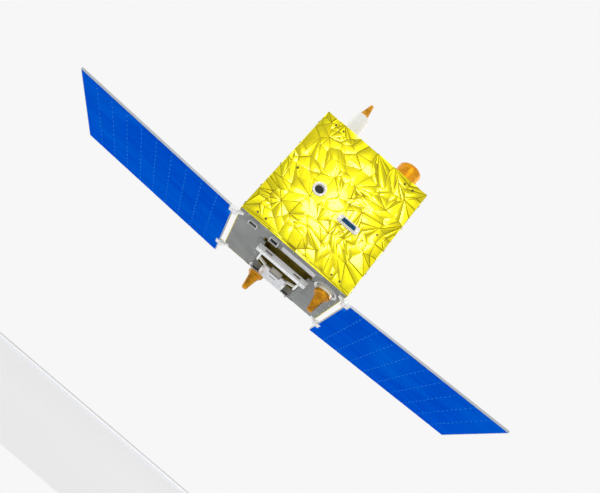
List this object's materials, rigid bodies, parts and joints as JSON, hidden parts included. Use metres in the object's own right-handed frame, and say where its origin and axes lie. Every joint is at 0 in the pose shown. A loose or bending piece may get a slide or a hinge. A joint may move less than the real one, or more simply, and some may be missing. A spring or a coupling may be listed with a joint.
{
  "type": "small satellite",
  "caption": "Cubic satellite wrapped in crumpled gold foil, with hinged solar wings at its base, cone antennas and a release latch underneath.",
  "frame": {"origin": "outer face of the release latch plate, on the centre line, between the latch block's notch and the slot", "axes": "+X along the right wing, -Y out of the side with the umbilical sockets, +Z from the latch up through the bus to the mast and drum antennas"},
  "size_m": [1.8354, 0.5463, 0.7787],
  "materials": {
    "gold_foil": "crumpled metallised film",
    "bus_panel": "matt grey",
    "structure": "satin",
    "tray_gold": "dull gold lining",
    "white_paint": "satin white",
    "bright_metal": "machined",
    "black_metal": "matt black",
    "cream_metal": "satin cream",
    "teal_insert": "moulded",
    "black_insert": "moulded",
    "amber_radome": "amber film over a moulded cone",
    "solar_glass": "blue cover glass",
    "wing_board": "satin faced honeycomb board",
    "dark_window": "dark coated glass"
  },
  "bodies": {
    "bus": {"access_cover": "bright_metal", "antenna_cones": "amber_radome", "avionics_stack": "structure", "back_blanket": "gold_foil", "back_panel": "structure", "bottom_panel": "bus_panel", "bracket_feet": "black_metal", "cone_collars": "cream_metal", "cone_dishes": "bright_metal", "drum_antenna": "amber_radome", "drum_flange": "bright_metal", "flat_socket_insert": "teal_insert", "flat_socket_shell": "cream_metal", "front_blanket": "gold_foil", "front_panel": "structure", "guide_pins": "bright_metal", "hinge_brackets": "white_paint", "latch_block": "cream_metal", "latch_ribs": "white_paint", "left_blanket": "gold_foil", "left_panel": "structure", "mast_antenna": "white_paint", "mast_cone": "amber_radome", "recess_tray": "tray_gold", "release_arms": "white_paint", "release_bracket": "bright_metal", "release_latch": "bright_metal", "release_links": "cream_metal", "release_posts": "bright_metal", "release_rail": "white_paint", "release_strips": "bus_panel", "right_blanket": "gold_foil", "right_panel": "structure", "round_socket_insert": "black_insert", "round_socket_shell": "cream_metal", "slit_sensors": "cream_metal", "slit_windows": "dark_window", "top_blanket": "gold_foil", "top_panel": "structure"},
    "left_wing": {"left_wing_panel": "wing_board", "left_wing_cells": "solar_glass", "left_hinge_lugs": "white_paint", "left_hinge_pins": "bright_metal"},
    "right_wing": {"right_wing_panel": "wing_board", "right_wing_cells": "solar_glass", "right_hinge_lugs": "white_paint", "right_hinge_pins": "bright_metal"}
  },
  "joints": [
    {"name": "left_wing_hinge", "type": "hinge", "parent": "bus", "child": "left_wing", "pos_m": [-0.235, 0.0235, 0.021], "axis": [0, 1, 0], "range_deg": [0, 87.5]},
    {"name": "right_wing_hinge", "type": "hinge", "parent": "bus", "child": "right_wing", "pos_m": [0.235, 0.0235, 0.021], "axis": [0, -1, 0], "range_deg": [0, 87.5]}
  ]
}
